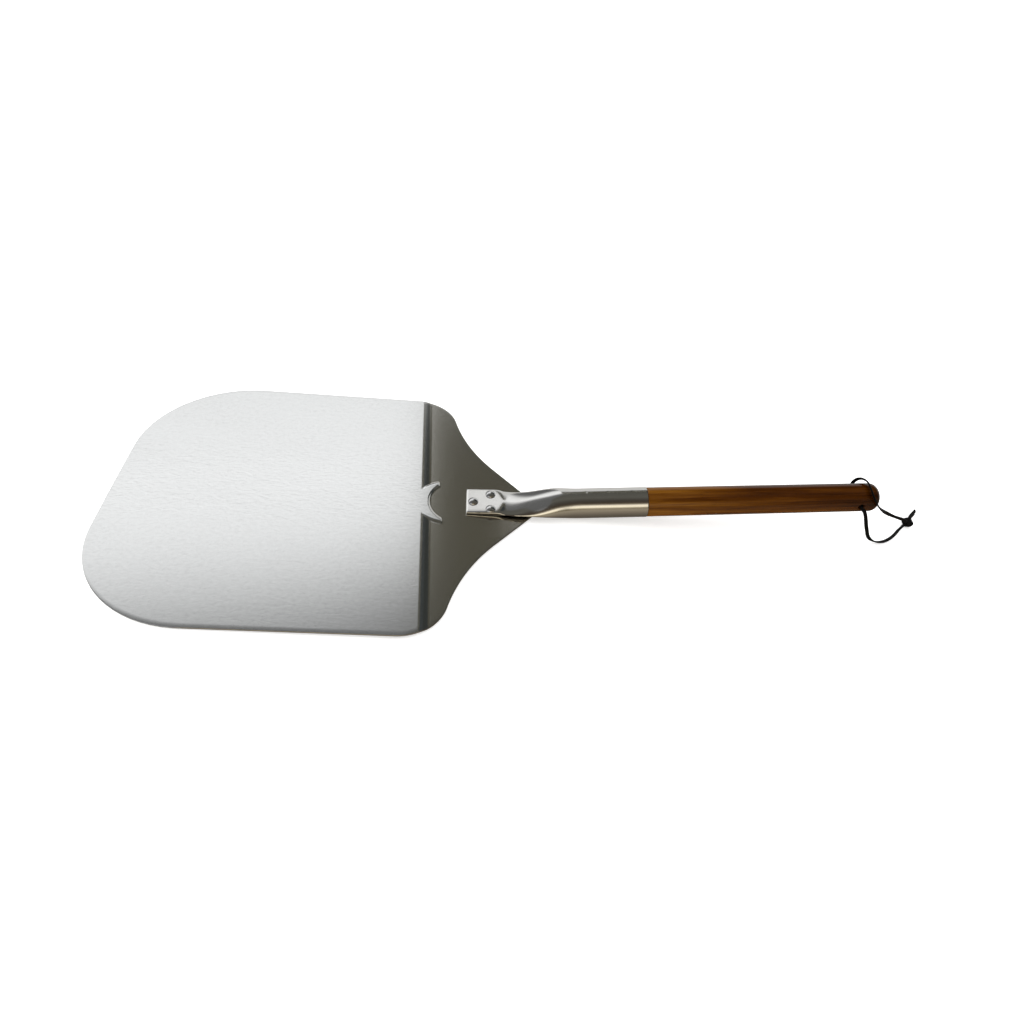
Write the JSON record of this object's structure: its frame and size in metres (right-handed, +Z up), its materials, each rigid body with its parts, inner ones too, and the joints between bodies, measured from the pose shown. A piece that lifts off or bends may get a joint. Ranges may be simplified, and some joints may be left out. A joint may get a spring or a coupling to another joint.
{
  "type": "pizza peel",
  "caption": "Short-handled pizza peel: round-cornered sheet aluminium blade riveted to a flattened socket tube, turned wooden handle and a knotted hanging thong.",
  "frame": {"origin": "middle of the metal and wooden parts' bounding box, on the level surface that the peel lies on", "axes": "+X from the blade's front edge towards the handle, +Z up; the peel lies as it does on a table, on its front edge and on the belly of the tube, so the blade rises by 0.86 degrees towards the handle"},
  "size_m": [0.7838, 0.305, 0.0651],
  "materials": {
    "blade_sheet": "satin, fine grained blade; smoother neck behind the bend",
    "tube_metal": "drawn and polished",
    "rivet_metal": "bright domed heads",
    "handle_wood": "oiled reddish brown hardwood, grain along the handle",
    "lace": "matt black lace"
  },
  "bodies": {
    "root": {"blade": "blade_sheet", "socket_tube": "tube_metal", "rivet_front": "rivet_metal", "rivet_left": "rivet_metal", "rivet_right": "rivet_metal", "wooden_handle": "handle_wood", "thong_near_strand": "lace", "thong_far_strand": "lace", "thong_knot": "lace", "thong_tail_upper": "lace", "thong_tail_lower": "lace"}
  },
  "joints": []
}
